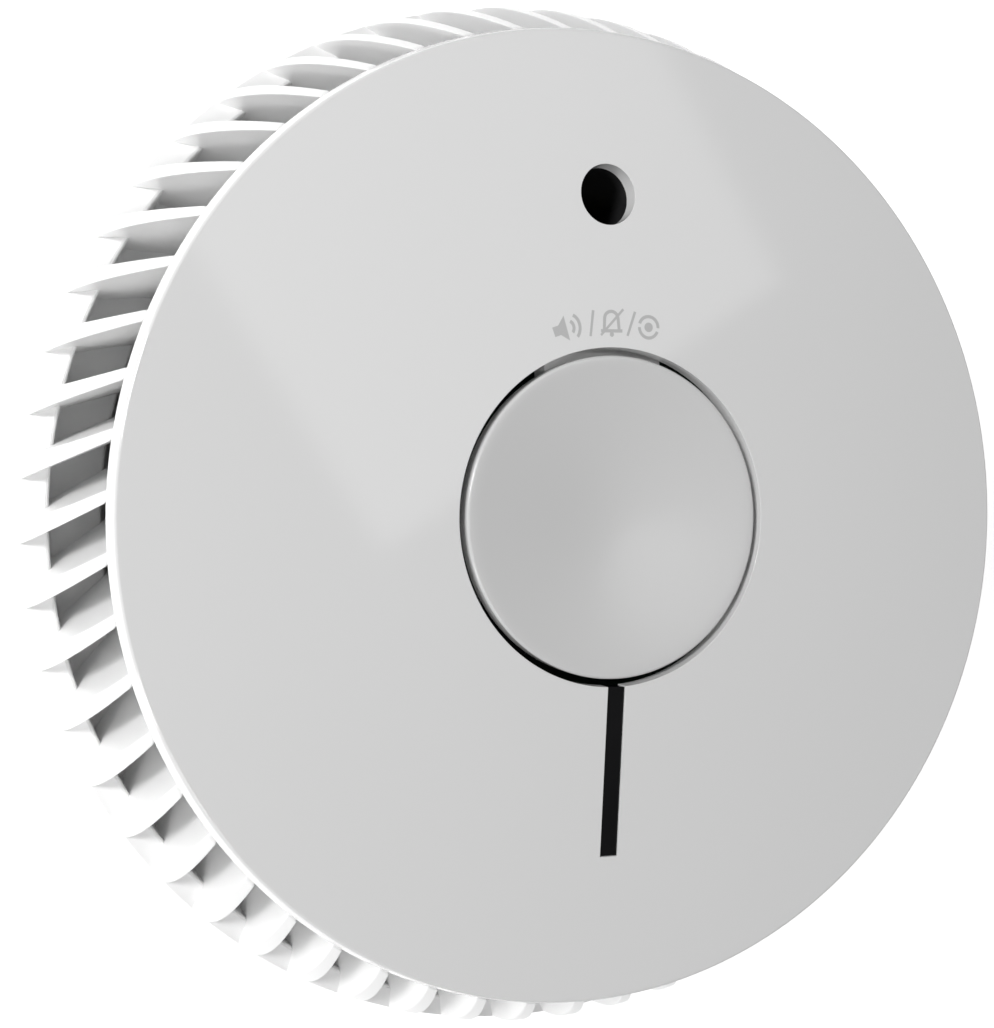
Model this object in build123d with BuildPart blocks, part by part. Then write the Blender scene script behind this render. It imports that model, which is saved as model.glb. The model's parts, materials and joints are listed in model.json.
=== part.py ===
from build123d import *
import os
from math import cos, degrees, radians, sin

# Optical smoke alarm, round, with a ring of swirl vanes behind a flat front cover.
# Millimetres. The origin is the centre of the mounting plate's back face, +Z points out
# through the front face, and +Y points from the button towards the sounder port.

os.makedirs("parts", exist_ok=True)

# ------------------------------------------------------------------ driving dimensions
face_height = 37.0        # front face above the surface that the alarm is fixed to
cover_radius = 50.0       # front cover at its face
cover_flare = 0.65        # how much wider the cover is at its rear edge
cover_thickness = 1.8
flange_radius = 58.5      # widest point of the alarm
shell_radius = 57.2
wall = 1.8
running_gap = 0.3         # between curved faces on pieces that move apart

button_opening_radius = 17.6
button_radius = 16.8
button_dish_radius = 16.2
button_dish_depth = 0.9
hinge_angle = 3.9         # the button's hinge line is turned this far from +X
hinge_offset = 20.6       # hinge pin from the button's centre
hinge_height = 33.3
hinge_pin_radius = 0.9
hinge_clearance = 0.05
tongue_half_width = 6.8
ear_inner = 7.1
ear_outer = 8.8
stem_offset = 12.0        # pressing stem from the button's centre, away from the hinge
stem_radius = 2.0
stem_bottom = 22.0
tongue_bottom = 32.2
tongue_start = 12.0       # where the tongue leaves the button, from the centre

port_x = -2.12            # sounder port in the cover
port_y = 33.26
port_radius = 3.12
slot_start = 17.6         # status window, from the button opening outwards
slot_end = 35.2
slot_width = 2.05
slot_lean = -1.5          # the slot leans this far from the line through the button's centre
slot_shift = 0.11

vane_count = 57
vane_tip_angle = 0.92     # first vane tip, measured from +X
vane_slant = 27.8         # between a vane and the radius through its tip, seen from the front
vane_front = 1.0          # vane thickness at the cover
vane_rear = 2.3           # vane thickness at the flange
vane_inner_radius = 45.0
tip_radius = 57.65
tip_height = 21.1
vane_top_radius = 50.75
vane_swell_radius = 55.2  # half way up, where the vanes swell outwards
shoulder_radius = 54.9
shoulder_height = 22.85
flange_bottom = 15.0
flange_inner_radius = 49.6
trough_height = 16.6      # floor between the vanes
parting_gap = 0.1         # shadow line between the vanes and the cover

plate_radius = 56.0
plate_thickness = 2.0
plate_rim_height = 3.2
screw_spacing = 60.0      # mounting screws, on X and again on Y
screw_slot_length = 10.0
screw_slot_radius = 2.2
floor_bottom = 3.4        # rear shell's floor
floor_top = 5.2

twist_angle = 12.0        # from locked to free, anticlockwise from the front
hook_angles = (45.0, 165.0, 285.0)
hook_half_angle = 5.0
hook_post = (42.0, 44.0)  # inner and outer radius of a hook's post
hook_head_outer = 46.5
hook_head_height = (5.5, 7.0)
peg_radius = 1.5          # peg that works the power switch
peg_orbit = 24.0
peg_top = 7.7
peg_angle = 45.0

case_post_angles = (60.0, 180.0, 300.0)
case_post_orbit = 38.8
case_post_bottom = 11.7
board_radius = 42.0
board_bottom = 12.0
board_top = 13.6
board_post_angles = (15.0, 125.0, 225.0, 285.0)
board_post_orbit = 36.0

chamber_x = -20.0         # optical chamber
chamber_y = -6.0
chamber_radius = 15.5
chamber_top = 31.0
optics_height = 22.0

horn_radius = 8.6         # sounder
cell_x = 26.0             # lithium cell, lying along Y
cell_y = -2.0
cell_radius = 8.5
cell_length = 34.5
cell_height = 22.7
lamp_spots = (20.0, 33.0) # status lamps under the window, distances below the centre

cover_bottom = face_height - cover_thickness


def at(radius, angle):
    """Point on a circle about the alarm's axis."""
    return (radius * cos(radians(angle)), radius * sin(radians(angle)))


def sector(inner, outer, start, end):
    """Flat ring segment between two radii and two angles."""
    with BuildSketch() as flat:
        with BuildLine():
            CenterArc((0, 0), inner, start, end - start)
            Line(at(inner, end), at(outer, end))
            CenterArc((0, 0), outer, start, end - start)
            Line(at(inner, start), at(outer, start))
        make_face()
    return flat.sketch


def outline(*points, rounded=()):
    """Flat polygon through the points. Each (point, radius) in rounded gives one corner a radius."""
    with BuildSketch() as flat:
        with BuildLine():
            Polyline(*points, close=True)
        make_face()
        for corner, radius in rounded:
            fillet(flat.vertices().sort_by_distance((*corner, 0))[0], radius=radius)
    return flat.sketch


# ================================================================== mounting plate
with BuildPart() as mounting_plate:
    with BuildSketch(Plane.XZ):
        add(outline(
            (0, 0),
            (plate_radius, 0),
            (plate_radius, plate_rim_height),
            (plate_radius - wall, plate_rim_height),
            (plate_radius - wall, plate_thickness),
            (0, plate_thickness),
            rounded=(((plate_radius, 0), 0.8), ((plate_radius, plate_rim_height), 0.3)),
        ))
    revolve(axis=Axis.Z)
    # screw slots: a pair on X and a pair on Y, each slot along its own line
    with BuildSketch():
        with Locations((screw_spacing / 2, 0), (-screw_spacing / 2, 0)):
            SlotOverall(screw_slot_length, 2 * screw_slot_radius)
        with Locations((0, screw_spacing / 2), (0, -screw_spacing / 2)):
            SlotOverall(screw_slot_length, 2 * screw_slot_radius, rotation=90)
    extrude(amount=plate_thickness, mode=Mode.SUBTRACT)
    # bayonet hooks: a post through the rear shell's floor, and a head over it
    for angle in hook_angles:
        with BuildSketch(Plane.XY.offset(plate_thickness)):
            add(sector(*hook_post, angle - hook_half_angle, angle + hook_half_angle))
        extrude(amount=hook_head_height[0] - plate_thickness)
        with BuildSketch(Plane.XY.offset(hook_head_height[0])):
            add(sector(hook_post[0], hook_head_outer, angle - hook_half_angle, angle + hook_half_angle))
        extrude(amount=hook_head_height[1] - hook_head_height[0])
    # peg for the power switch
    with BuildSketch(Plane.XY.offset(plate_thickness)):
        with Locations(at(peg_orbit, peg_angle)):
            Circle(peg_radius)
    extrude(amount=peg_top - plate_thickness)
    # stiffening ribs round the middle
    with BuildSketch(Plane.XY.offset(plate_thickness)):
        Circle(15.0)
        Circle(14.0, mode=Mode.SUBTRACT)
    extrude(amount=0.8)
mounting_plate.part.label = "mounting_plate"
export_step(mounting_plate.part, "parts/mounting_plate.step")


# ================================================================== rear shell
hook_play = degrees(0.4 / hook_post[0])
board_post_radius = 3.0
case_boss_radius = 4.0
case_boss_top = case_post_bottom - 0.2
counterbore = 3.2         # deep, from the back, for a case screw's head

with BuildPart() as rear_shell:
    with BuildSketch(Plane.XZ):
        add(outline(
            (0, floor_bottom),
            (shell_radius, floor_bottom),
            (shell_radius, flange_bottom),
            (shell_radius - wall, flange_bottom),
            (shell_radius - wall, floor_top),
            (0, floor_top),
            rounded=(((shell_radius, floor_bottom), 1.2), ((shell_radius, flange_bottom), 0.2)),
        ))
    revolve(axis=Axis.Z)
    # posts under the circuit board
    with BuildSketch(Plane.XY.offset(floor_top)):
        for angle in board_post_angles:
            with Locations(at(board_post_orbit, angle)):
                Circle(board_post_radius)
                Circle(1.0, mode=Mode.SUBTRACT)
    extrude(amount=board_bottom - floor_top)
    # bosses for the case screws
    with BuildSketch(Plane.XY.offset(floor_top)):
        for angle in case_post_angles:
            with Locations(at(case_post_orbit, angle)):
                Circle(case_boss_radius)
    extrude(amount=case_boss_top - floor_top)
    with BuildSketch(Plane.XY.offset(floor_bottom)):
        for angle in case_post_angles:
            with Locations(at(case_post_orbit, angle)):
                Circle(1.6)
    extrude(amount=case_boss_top - floor_bottom, mode=Mode.SUBTRACT)
    with BuildSketch(Plane.XY.offset(floor_bottom)):
        for angle in case_post_angles:
            with Locations(at(case_post_orbit, angle)):
                Circle(2.8)
    extrude(amount=counterbore, mode=Mode.SUBTRACT)
    # bayonet tracks: narrow under the lip, wide where the hook's head drops in
    for angle in hook_angles:
        with BuildSketch(Plane.XY.offset(floor_bottom)):
            add(sector(
                hook_post[0] - running_gap,
                hook_post[1] + running_gap,
                angle - twist_angle - hook_half_angle - hook_play,
                angle + hook_half_angle + hook_play,
            ))
            add(sector(
                hook_post[0] - running_gap,
                hook_head_outer + running_gap,
                angle - twist_angle - hook_half_angle - hook_play,
                angle - twist_angle + hook_half_angle + hook_play,
            ))
        extrude(amount=floor_top - floor_bottom, mode=Mode.SUBTRACT)
    # track for the plate's peg
    peg_play = degrees((peg_radius + 0.4) / peg_orbit)
    with BuildSketch(Plane.XY.offset(floor_bottom)):
        add(sector(
            peg_orbit - peg_radius - 0.4,
            peg_orbit + peg_radius + 0.4,
            peg_angle - twist_angle - peg_play,
            peg_angle + peg_play,
        ))
    extrude(amount=floor_top - floor_bottom, mode=Mode.SUBTRACT)
rear_shell.part.label = "rear_shell"
export_step(rear_shell.part, "parts/rear_shell.step")


# ================================================================== vent ring
vane_top = cover_bottom - parting_gap
top_ring_bottom = vane_top - 1.5
vane_foot = trough_height - 0.4
vane_reach = 16.0         # plan length of the raw vane, before it is trimmed


def vane_section(thickness):
    """Plan of one vane: its straight side runs through the tip, the other side is clockwise."""
    slant = radians(180.0 + vane_slant)
    along = (cos(slant), sin(slant))
    across = (along[1], -along[0])
    tip = (tip_radius, 0.0)
    outer = (tip[0] - 3.5 * along[0], tip[1] - 3.5 * along[1])
    inner = (tip[0] + vane_reach * along[0], tip[1] + vane_reach * along[1])
    return outline(
        outer,
        inner,
        (inner[0] - thickness * across[0], inner[1] - thickness * across[1]),
        (outer[0] - thickness * across[0], outer[1] - thickness * across[1]),
    )


# one vane, drafted on its clockwise side and trimmed to the alarm's outline
with BuildPart() as vane:
    with BuildSketch(Plane.XY.offset(vane_foot)):
        add(vane_section(vane_rear))
    with BuildSketch(Plane.XY.offset(vane_top)):
        add(vane_section(vane_front))
    loft()
    with BuildSketch(Plane.XZ):
        with BuildLine():
            Polyline(
                (vane_top_radius, vane_top),
                (vane_inner_radius, vane_top),
                (vane_inner_radius, vane_foot),
                (tip_radius - 0.3, vane_foot),
                (tip_radius, tip_height),
            )
            ThreePointArc(
                (tip_radius, tip_height),
                (vane_swell_radius, (tip_height + vane_top) / 2),
                (vane_top_radius, vane_top),
            )
        make_face()
    revolve(axis=Axis.Z, mode=Mode.INTERSECT)

with BuildPart() as vent_ring:
    # flange with its sloping shoulder
    with BuildSketch(Plane.XZ):
        add(outline(
            (flange_inner_radius, flange_bottom),
            (flange_radius, flange_bottom),
            (flange_radius, 18.2),
            (tip_radius, tip_height),
            (shoulder_radius, shoulder_height),
            (shoulder_radius, trough_height),
            (flange_inner_radius, trough_height),
            rounded=(((flange_radius, flange_bottom), 0.9), ((flange_radius, 18.2), 1.2)),
        ))
    revolve(axis=Axis.Z)
    # spigot that centres the ring inside the rear shell's wall
    with BuildSketch(Plane.XY.offset(flange_bottom - 1.6)):
        Circle(shell_radius - wall)
        Circle(shell_radius - 2 * wall, mode=Mode.SUBTRACT)
    extrude(amount=1.6)
    # ring that joins the vanes under the cover
    with BuildSketch(Plane.XY.offset(top_ring_bottom)):
        Circle(vane_inner_radius + 1.5)
        Circle(vane_inner_radius - 1.3, mode=Mode.SUBTRACT)
    extrude(amount=vane_top - top_ring_bottom)
    with PolarLocations(0, vane_count, start_angle=vane_tip_angle):
        add(vane.part)
vent_ring.part.label = "vent_ring"
export_step(vent_ring.part, "parts/vent_ring.step")


# ================================================================== front cover
hinge_line = Plane(
    origin=(*at(hinge_offset, 90 + hinge_angle), hinge_height),
    x_dir=(0, 0, 1),
    z_dir=(cos(radians(hinge_angle)), sin(radians(hinge_angle)), 0),
)
slot_middle = Location((slot_shift, -(slot_start + slot_end) / 2, 0), slot_lean)
rib_outer = vane_inner_radius - 1.3 - 0.1
rib_height = 2.0
pilot_radius = 1.3
pilot_depth = 12.0
case_post_radius = 2.75
ear_width = 4.4

with BuildPart() as front_cover:
    with BuildSketch(Plane.XZ):
        add(outline(
            (button_opening_radius, cover_bottom),
            (cover_radius + cover_flare, cover_bottom),
            (cover_radius, face_height),
            (button_opening_radius, face_height),
        ))
    revolve(axis=Axis.Z)
    fillet(front_cover.edges().group_by(Axis.Z)[-1].sort_by(SortBy.RADIUS)[-1], radius=0.4)
    # rib that centres the cover inside the vent ring
    with BuildSketch(Plane.XY.offset(cover_bottom - rib_height)):
        Circle(rib_outer)
        Circle(rib_outer - 1.2, mode=Mode.SUBTRACT)
    extrude(amount=rib_height)
    # posts down to the case screws
    with BuildSketch(Plane.XY.offset(case_post_bottom)):
        for angle in case_post_angles:
            with Locations(at(case_post_orbit, angle)):
                Circle(case_post_radius)
                Circle(pilot_radius, mode=Mode.SUBTRACT)
    extrude(amount=pilot_depth)
    with BuildSketch(Plane.XY.offset(case_post_bottom + pilot_depth)):
        for angle in case_post_angles:
            with Locations(at(case_post_orbit, angle)):
                Circle(case_post_radius)
    extrude(amount=cover_bottom - case_post_bottom - pilot_depth)
    # ears for the button's hinge pin
    for side in (-1, 1):
        with BuildSketch(hinge_line.offset(side * ear_inner)):
            Rectangle(2 * (cover_bottom - hinge_height), ear_width)
        extrude(amount=side * (ear_outer - ear_inner))
    with BuildSketch(hinge_line.offset(-ear_outer)):
        Circle(hinge_pin_radius + hinge_clearance)
    extrude(amount=2 * ear_outer, mode=Mode.SUBTRACT)
    # nothing stands above the face round the hinge
    with BuildSketch(Plane.XY.offset(face_height)):
        Circle(cover_radius)
    extrude(amount=5.0, mode=Mode.SUBTRACT)
    # sounder port and status slot
    with BuildSketch(Plane.XY.offset(cover_bottom - rib_height)):
        with Locations((port_x, port_y)):
            Circle(port_radius)
    extrude(amount=cover_thickness + rib_height, mode=Mode.SUBTRACT)
    with BuildSketch(Plane.XY.offset(cover_bottom)):
        with Locations(slot_middle):
            with Locations((0, 0.5)):
                Rectangle(slot_width, slot_end - slot_start + 1.0)
    extrude(amount=cover_thickness, mode=Mode.SUBTRACT)
front_cover.part.label = "front_cover"
export_step(front_cover.part, "parts/front_cover.step")


# ================================================================== status window and lamps
window_fit = 0.02
window_recess = 0.25
with BuildPart() as indicator_window:
    with BuildSketch(Plane.XY.offset(cover_bottom)):
        with Locations(slot_middle):
            Rectangle(slot_width - 2 * window_fit, slot_end - slot_start - 2 * window_fit)
    extrude(amount=cover_thickness - window_recess)
    with BuildSketch(Plane.XY.offset(cover_bottom - 0.8)):
        with Locations(slot_middle):
            with Locations((0, -0.4)):
                Rectangle(slot_width + 2.4, slot_end - slot_start - 0.6)
    extrude(amount=0.8)
indicator_window.part.label = "indicator_window"
export_step(indicator_window.part, "parts/indicator_window.step")

lamp_top = board_top + 1.6
with BuildPart() as status_lamps:
    for spot in lamp_spots:
        with BuildSketch(Plane.XY.offset(board_top)):
            with Locations((0, -spot)):
                Rectangle(2.8, 3.2)
        extrude(amount=0.8)
        with BuildSketch(Plane.XY.offset(board_top + 0.8)):
            with Locations((0, -spot)):
                Circle(1.2)
        extrude(amount=0.8, taper=12)
status_lamps.part.label = "status_lamps"
export_step(status_lamps.part, "parts/status_lamps.step")

with BuildPart() as light_pipe:
    for spot in lamp_spots:
        with BuildSketch(Plane.XY.offset(lamp_top + 0.2)):
            with Locations((0, -spot)):
                Circle(1.3)
        extrude(amount=cover_bottom - 2.4 - lamp_top - 0.2)
    with BuildSketch(Plane.XY.offset(cover_bottom - 2.4)):
        with Locations((0, -(lamp_spots[0] + lamp_spots[1]) / 2)):
            SlotOverall(lamp_spots[1] - lamp_spots[0] + 3.0, 3.0, rotation=90)
    extrude(amount=1.6)
light_pipe.part.label = "light_pipe"
export_step(light_pipe.part, "parts/light_pipe.step")


# ================================================================== test button
button_underside = face_height - 2.2
stem_spot = at(stem_offset, 270 + hinge_angle)
dish_sphere = (button_dish_radius ** 2 + button_dish_depth ** 2) / (2 * button_dish_depth)

with BuildPart() as test_button:
    with BuildSketch(Plane.XY.offset(button_underside)):
        Circle(button_radius)
    extrude(amount=face_height - button_underside)
    fillet(test_button.edges().group_by(Axis.Z)[-1], radius=0.3)
    with Locations((0, 0, face_height - button_dish_depth + dish_sphere)):
        Sphere(dish_sphere, mode=Mode.SUBTRACT)
    # tongue under the cover, and the barrel and pin that it turns on
    with BuildSketch(Plane.XY.offset(tongue_bottom)):
        with Locations(Location((*at((tongue_start + hinge_offset) / 2, 90 + hinge_angle), 0), hinge_angle)):
            Rectangle(2 * tongue_half_width, hinge_offset - tongue_start)
    extrude(amount=button_underside - tongue_bottom)
    with BuildSketch(hinge_line.offset(-tongue_half_width)):
        Circle(1.5)
    extrude(amount=2 * tongue_half_width)
    with BuildSketch(hinge_line.offset(-ear_outer + 0.1)):
        Circle(hinge_pin_radius)
    extrude(amount=2 * (ear_outer - 0.1))
    # stem down to the switch
    with BuildSketch(Plane.XY.offset(stem_bottom)):
        with Locations(stem_spot):
            Circle(stem_radius)
    extrude(amount=button_underside - stem_bottom)
test_button.part.label = "test_button"
export_step(test_button.part, "parts/test_button.step")

# the tact switch under the stem: a moulded body and the plunger that the stem pushes
tact_size = 6.0
tact_height = 3.6
tact_body_top = board_top + tact_height
plunger_radius = 1.7
with BuildPart() as tact_switch_body:
    with BuildSketch(Plane.XY.offset(board_top)):
        with Locations(stem_spot):
            RectangleRounded(tact_size, tact_size, 0.5)
    extrude(amount=tact_height)
    with BuildSketch(Plane.XY.offset(board_top + 1.0)):
        with Locations(stem_spot):
            Circle(plunger_radius + 0.08)
    extrude(amount=3.0, mode=Mode.SUBTRACT)
    with BuildSketch(Plane.XY.offset(tact_body_top)):
        for dx in (-2.3, 2.3):
            for dy in (-2.3, 2.3):
                with Locations((stem_spot[0] + dx, stem_spot[1] + dy)):
                    Circle(0.4)
    extrude(amount=0.25)
tact_switch_body.part.label = "tact_switch_body"
export_step(tact_switch_body.part, "parts/tact_switch_body.step")

with BuildPart() as tact_plunger:
    with BuildSketch(Plane.XY.offset(board_top + 2.2)):
        with Locations(stem_spot):
            Circle(plunger_radius)
    extrude(amount=stem_bottom - 0.05 - board_top - 2.2)
    chamfer(tact_plunger.edges().group_by(Axis.Z)[-1], length=0.3)
tact_plunger.part.label = "tact_plunger"
export_step(tact_plunger.part, "parts/tact_plunger.step")


# ================================================================== circuit board
post_notch_radius = 3.4   # clears a cover post
post_notch_depth = 3.0    # opens the notch towards the board's edge
board_hole_radius = 1.35
with BuildPart() as circuit_board:
    with BuildSketch(Plane.XY.offset(board_bottom)):
        Circle(board_radius)
        for angle in case_post_angles:
            with Locations(at(case_post_orbit, angle)):
                Circle(post_notch_radius, mode=Mode.SUBTRACT)
            with Locations(at(case_post_orbit + post_notch_depth, angle)):
                Circle(post_notch_radius, mode=Mode.SUBTRACT)
        for angle in board_post_angles:
            with Locations(at(board_post_orbit, angle)):
                Circle(board_hole_radius, mode=Mode.SUBTRACT)
    extrude(amount=board_top - board_bottom)
circuit_board.part.label = "circuit_board"
export_step(circuit_board.part, "parts/circuit_board.step")

board_screw_length = 6.0
board_screw_radius = 0.98
board_screw_head = 2.0
case_screw_head = 2.6
case_screw_length = 15.0
head_recess = 1.4         # case screw heads sit this deep in the rear shell
with BuildPart() as board_screws:
    for angle in board_post_angles:
        spot = at(board_post_orbit, angle)
        with BuildSketch(Plane.XY.offset(board_bottom - board_screw_length)):
            with Locations(spot):
                Circle(board_screw_radius)
        extrude(amount=board_screw_length + board_top - board_bottom)
        with BuildSketch(Plane.XY.offset(board_top)):
            with Locations(spot):
                Circle(board_screw_head)
        extrude(amount=1.4, taper=10)
        with BuildSketch(Plane.XY.offset(board_top + 0.7)):
            with Locations(spot):
                Rectangle(2.4, 0.5)
                Rectangle(0.5, 2.4)
        extrude(amount=0.8, mode=Mode.SUBTRACT)
board_screws.part.label = "board_screws"
export_step(board_screws.part, "parts/board_screws.step")

with BuildPart() as case_screws:
    for angle in case_post_angles:
        spot = at(case_post_orbit, angle)
        with BuildSketch(Plane.XY.offset(floor_bottom + head_recess)):
            with Locations(spot):
                Circle(case_screw_head)
        extrude(amount=counterbore - head_recess)
        with BuildSketch(Plane.XY.offset(floor_bottom + counterbore)):
            with Locations(spot):
                Circle(pilot_radius - 0.03)
        extrude(amount=case_screw_length)
        with BuildSketch(Plane.XY.offset(floor_bottom + head_recess)):
            with Locations(spot):
                Rectangle(3.0, 0.7)
                Rectangle(0.7, 3.0)
        extrude(amount=0.9, mode=Mode.SUBTRACT)
case_screws.part.label = "case_screws"
export_step(case_screws.part, "parts/case_screws.step")


# ================================================================== optical chamber
chamber_spot = (chamber_x, chamber_y)
chamber_base_top = board_top + 1.6
chamber_cap_bottom = chamber_top - 2.0
cap_recess_radius = 10.5
optic_angles = {"ir_emitter": 200.0, "light_sensor": 335.0}
optic_orbit = 7.6
lead_radius = 0.28
labyrinth_count = 18
labyrinth_orbit = 12.9
lead_pitch = 2.54

with BuildPart() as chamber_base:
    with BuildSketch(Plane.XY.offset(board_top)):
        with Locations(chamber_spot):
            Circle(chamber_radius)
    extrude(amount=chamber_base_top - board_top)
    # chevron baffles that pass smoke and stop light
    with BuildSketch(Plane.XY.offset(chamber_base_top)):
        with Locations(chamber_spot):
            with PolarLocations(labyrinth_orbit, labyrinth_count):
                with Locations((-0.55, 0)):
                    Rectangle(2.4, 0.7, rotation=52)
                with Locations((0.75, 0)):
                    Rectangle(2.2, 0.7, rotation=-52)
    extrude(amount=chamber_cap_bottom - chamber_base_top)
    # holes for the optics' leads
    with BuildSketch(Plane.XY.offset(board_top)):
        with Locations(chamber_spot):
            for angle in optic_angles.values():
                for side in (-lead_pitch / 2, lead_pitch / 2):
                    with Locations(at(optic_orbit + 2.6, angle + degrees(side / (optic_orbit + 2.6)))):
                        Circle(lead_radius + 0.12)
    extrude(amount=chamber_base_top - board_top, mode=Mode.SUBTRACT)
chamber_base.part.label = "chamber_base"
export_step(chamber_base.part, "parts/chamber_base.step")

with BuildPart() as chamber_cap:
    with BuildSketch(Plane.XY.offset(chamber_cap_bottom)):
        with Locations(chamber_spot):
            Circle(chamber_radius)
    extrude(amount=chamber_top - chamber_cap_bottom)
    fillet(chamber_cap.edges().group_by(Axis.Z)[-1], radius=0.8)
    with BuildSketch(Plane.XY.offset(chamber_cap_bottom)):
        with Locations(chamber_spot):
            Circle(cap_recess_radius)
    extrude(amount=1.0, mode=Mode.SUBTRACT)
chamber_cap.part.label = "chamber_cap"
export_step(chamber_cap.part, "parts/chamber_cap.step")

screen_slits = 40
with BuildPart() as insect_screen:
    with BuildSketch(Plane.XY.offset(chamber_base_top)):
        with Locations(chamber_spot):
            Circle(chamber_radius - 0.1)
            Circle(chamber_radius - 0.45, mode=Mode.SUBTRACT)
    extrude(amount=chamber_cap_bottom - chamber_base_top)
    for row in range(3):
        with BuildSketch(Plane.XY.offset(chamber_base_top + 1.0 + 4.1 * row)):
            with Locations(chamber_spot):
                with PolarLocations(chamber_radius - 0.3, screen_slits):
                    Rectangle(1.2, 1.3)
        extrude(amount=3.4, mode=Mode.SUBTRACT)
insect_screen.part.label = "insect_screen"
export_step(insect_screen.part, "parts/insect_screen.step")


def optic_axis(angle):
    """Plane at the back of a lamp or sensor, its normal pointing into the chamber's middle."""
    spot = at(optic_orbit + 2.0, angle)
    return Plane(
        origin=(chamber_x + spot[0], chamber_y + spot[1], optics_height),
        x_dir=(0, 0, 1),
        z_dir=(-cos(radians(angle)), -sin(radians(angle)), 0),
    )


def leads_under(angle):
    """The two wire leads of an optic, from its back down to the circuit board."""
    with BuildPart() as pair:
        for side in (-lead_pitch / 2, lead_pitch / 2):
            spot = at(optic_orbit + 2.6, angle + degrees(side / (optic_orbit + 2.6)))
            with BuildSketch(Plane.XY.offset(board_top)):
                with Locations((chamber_x + spot[0], chamber_y + spot[1])):
                    Circle(lead_radius)
            extrude(amount=optics_height + 0.5 - board_top)
    return pair.part


with BuildPart() as ir_emitter:
    with BuildSketch(optic_axis(optic_angles["ir_emitter"]).offset(-1.0)):
        Circle(2.4)
    extrude(amount=1.0)
    with BuildSketch(optic_axis(optic_angles["ir_emitter"])):
        Circle(1.9)
    extrude(amount=3.0)
    fillet(ir_emitter.faces().sort_by(Axis.X)[-1].edges(), radius=1.2)
    add(leads_under(optic_angles["ir_emitter"]))
ir_emitter.part.label = "ir_emitter"
export_step(ir_emitter.part, "parts/ir_emitter.step")

with BuildPart() as light_sensor:
    with BuildSketch(optic_axis(optic_angles["light_sensor"]).offset(-1.0)):
        Rectangle(4.6, 4.4)
    extrude(amount=2.4)
    with BuildSketch(optic_axis(optic_angles["light_sensor"]).offset(1.4)):
        Circle(1.6)
    extrude(amount=0.8, taper=20)
    add(leads_under(optic_angles["light_sensor"]))
light_sensor.part.label = "light_sensor"
export_step(light_sensor.part, "parts/light_sensor.step")


# ================================================================== sounder
port_spot = (port_x, port_y)
sounder_base_top = board_top + 5.0
disc_thickness = 0.3
disc_bottom = sounder_base_top - disc_thickness
ceramic_radius = 5.6
with BuildPart() as sounder_base:
    with BuildSketch(Plane.XY.offset(board_top)):
        with Locations(port_spot):
            Circle(horn_radius)
    extrude(amount=disc_bottom - board_top)
    with BuildSketch(Plane.XY.offset(board_top + 1.2)):
        with Locations(port_spot):
            Circle(horn_radius - 1.6)
    extrude(amount=5.0, mode=Mode.SUBTRACT)
sounder_base.part.label = "sounder_base"
export_step(sounder_base.part, "parts/sounder_base.step")

with BuildPart() as piezo_disc:
    with BuildSketch(Plane.XY.offset(disc_bottom)):
        with Locations(port_spot):
            Circle(horn_radius - 0.3)
    extrude(amount=disc_thickness)
piezo_disc.part.label = "piezo_disc"
export_step(piezo_disc.part, "parts/piezo_disc.step")

with BuildPart() as piezo_ceramic:
    with BuildSketch(Plane.XY.offset(disc_bottom - disc_thickness)):
        with Locations(port_spot):
            Circle(ceramic_radius)
    extrude(amount=disc_thickness)
piezo_ceramic.part.label = "piezo_ceramic"
export_step(piezo_ceramic.part, "parts/piezo_ceramic.step")

horn_top = cover_bottom - 0.5
horn_skirt = 6.0          # straight part of the horn, under its taper
horn_chamber = 5.0        # air space over the disc
with BuildPart() as sounder_horn:
    with BuildSketch(Plane.XY.offset(sounder_base_top)):
        with Locations(port_spot):
            Circle(horn_radius)
    extrude(amount=horn_skirt)
    with BuildSketch(Plane.XY.offset(sounder_base_top + horn_skirt)):
        with Locations(port_spot):
            Circle(horn_radius)
    extrude(amount=horn_top - sounder_base_top - horn_skirt, taper=8)
    with BuildSketch(Plane.XY.offset(sounder_base_top)):
        with Locations(port_spot):
            Circle(horn_radius - 1.4)
    extrude(amount=horn_chamber, mode=Mode.SUBTRACT)
    with BuildSketch(Plane.XY.offset(sounder_base_top + horn_chamber)):
        with Locations(port_spot):
            Circle(port_radius + 0.4)
    extrude(amount=horn_top - sounder_base_top - horn_chamber, mode=Mode.SUBTRACT)
sounder_horn.part.label = "sounder_horn"
export_step(sounder_horn.part, "parts/sounder_horn.step")

with BuildPart() as sounder_gasket:
    with BuildSketch(Plane.XY.offset(horn_top)):
        with Locations(port_spot):
            Circle(ceramic_radius)
            Circle(port_radius + 0.6, mode=Mode.SUBTRACT)
    extrude(amount=cover_bottom - horn_top)
sounder_gasket.part.label = "sounder_gasket"
export_step(sounder_gasket.part, "parts/sounder_gasket.step")

contact_top = disc_bottom - disc_thickness
with BuildPart() as sounder_contacts:
    for dx in (-2.6, 2.6):
        # each contact is a bent leaf: foot, riser and spring arm
        with BuildSketch(Plane((port_x + dx, port_y, 0), x_dir=(0, 1, 0), z_dir=(1, 0, 0))):
            add(outline(
                (-2.0, board_top + 1.2),
                (2.0, board_top + 1.2),
                (2.0, contact_top),
                (-1.6, contact_top),
                (-1.6, contact_top - 0.25),
                (1.75, contact_top - 0.25),
                (1.75, board_top + 1.45),
                (-2.0, board_top + 1.45),
            ))
        extrude(amount=1.2)
sounder_contacts.part.label = "sounder_contacts"
export_step(sounder_contacts.part, "parts/sounder_contacts.step")


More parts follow.
